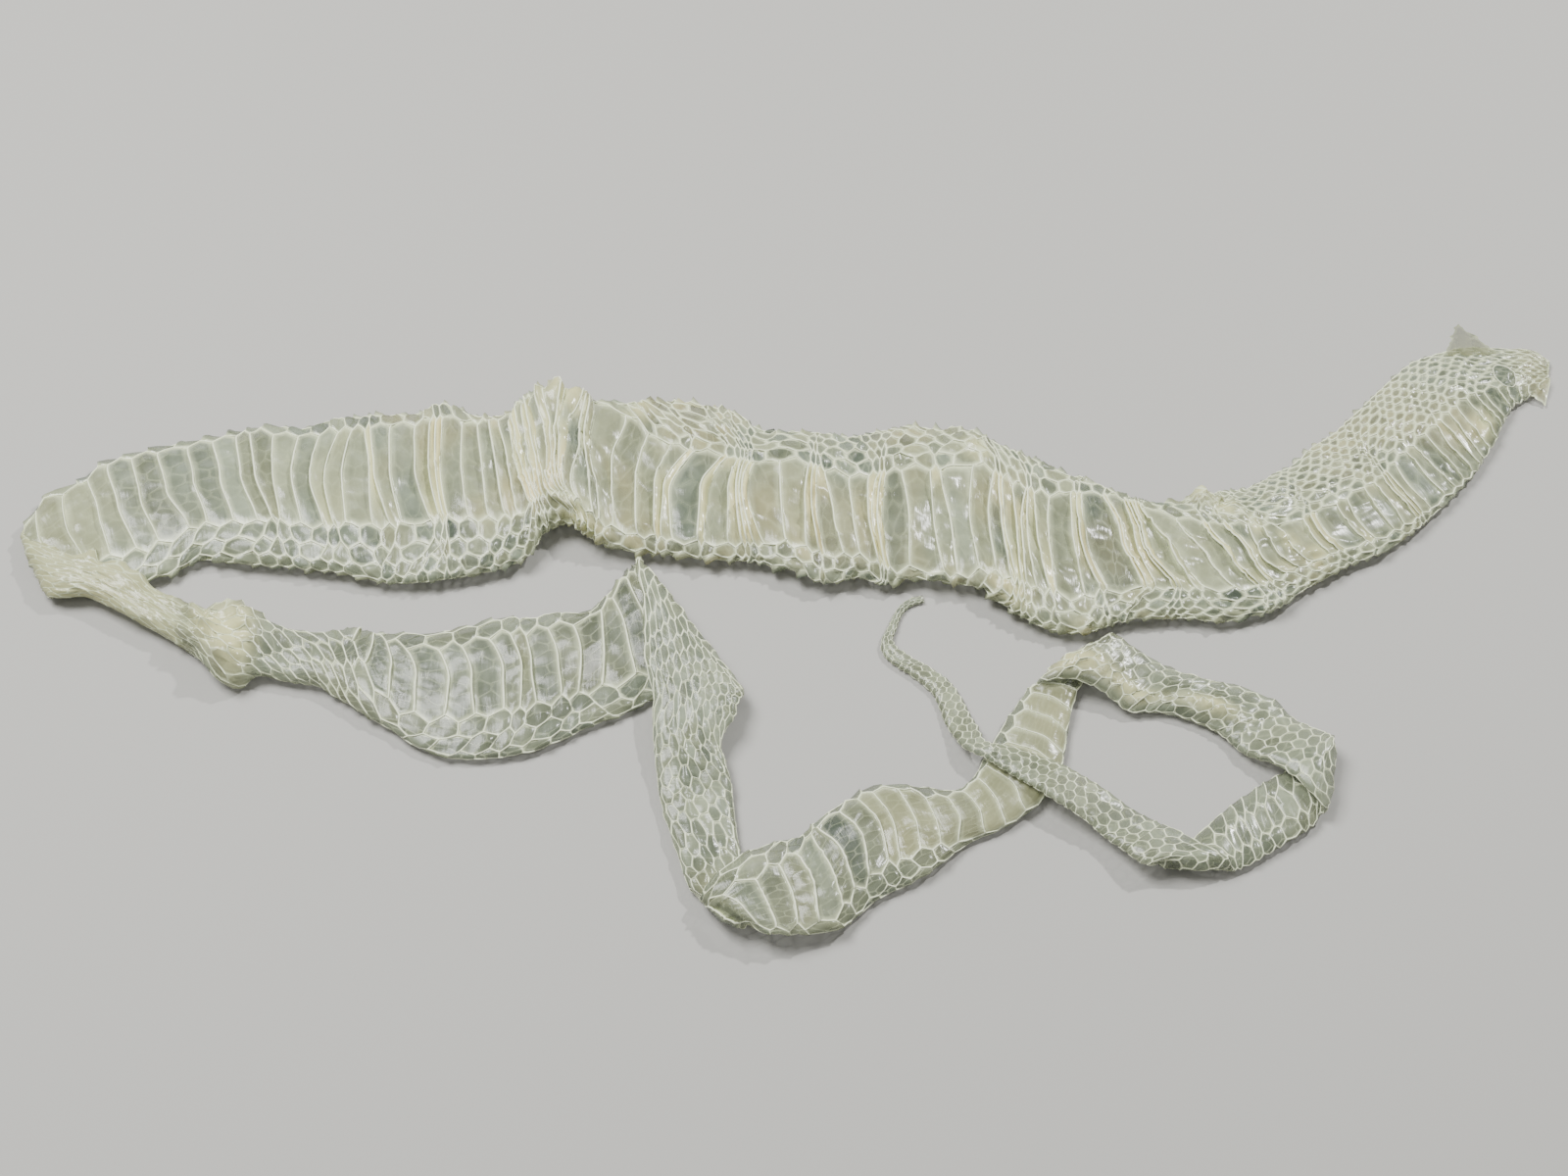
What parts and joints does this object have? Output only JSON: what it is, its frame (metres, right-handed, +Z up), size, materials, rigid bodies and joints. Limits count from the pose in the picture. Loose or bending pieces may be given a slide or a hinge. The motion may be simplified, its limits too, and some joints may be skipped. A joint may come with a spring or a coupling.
{
  "type": "shed snake skin",
  "caption": "Empty translucent skin shed by a slender snake, one crumpled flattened tube lying in folds on a surface, with a torn mouth end and a thin tail looped over the body.",
  "frame": {"origin": "on the surface the skin lies on, under the middle of its box", "axes": "+X from the rolled left fold towards the torn mouth end, +Y away from the near strand towards the back of the long body stretch, +Z up"},
  "size_m": [0.4395, 0.1935, 0.014],
  "materials": {
    "keratin_film": "dry translucent film, cream-white at the scale edges and grey-green on the scale faces"
  },
  "bodies": {
    "root": {"shed_skin": "keratin_film"}
  },
  "joints": []
}
